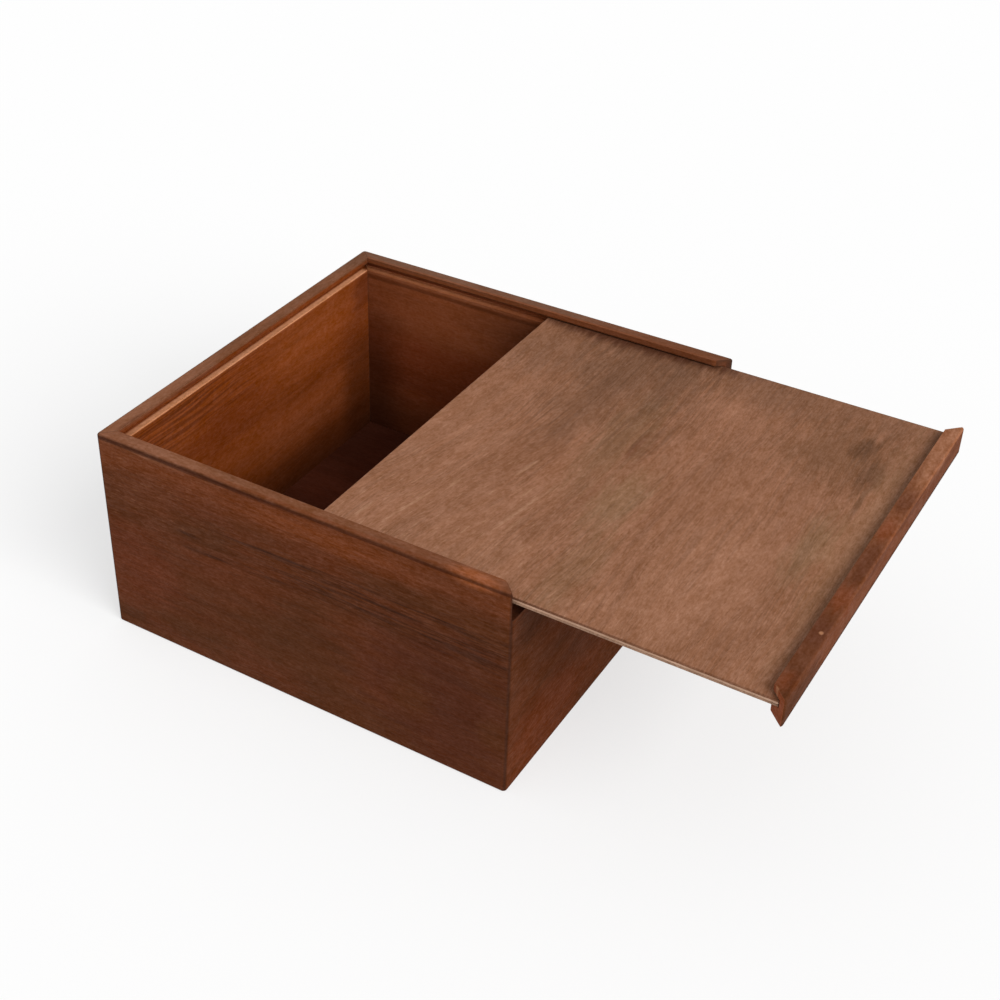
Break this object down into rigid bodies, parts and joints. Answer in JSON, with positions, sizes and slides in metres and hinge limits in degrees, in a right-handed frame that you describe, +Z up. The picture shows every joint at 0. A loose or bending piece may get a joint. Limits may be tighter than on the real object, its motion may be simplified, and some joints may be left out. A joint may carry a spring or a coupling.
{
  "type": "sliding lid box",
  "caption": "Square stained-wood box of mitred boards with a thin plywood lid that slides in grooves and carries a wooden pull; shown half open.",
  "frame": {"origin": "middle of the box's underside, where it rests, with the lid's travel left out", "axes": "+X is the way the lid draws out, +Z is up, +Y completes the frame; the open end of the box faces +X"},
  "size_m": [0.3042, 0.2, 0.1],
  "materials": {
    "rear_wood": "dark red-brown stain, satin",
    "side_wood": "dark walnut-brown stain with black streaks, satin",
    "front_wood": "dark red-brown stain, satin",
    "floor_wood": "dark stain, matte",
    "lid_plywood": "brown-stained plywood, matte",
    "pull_wood": "brown stain, satin"
  },
  "bodies": {
    "box": {"rear_wall": "rear_wood", "left_wall": "side_wood", "right_wall": "side_wood", "front_wall": "front_wood", "bottom_panel": "floor_wood"},
    "lid": {"lid_panel": "lid_plywood", "lid_pull": "pull_wood"}
  },
  "joints": [
    {"name": "lid_slide", "type": "slide", "parent": "box", "child": "lid", "axis": [1, 0, 0], "range_m": [-0.1042, 0.0913]}
  ]
}
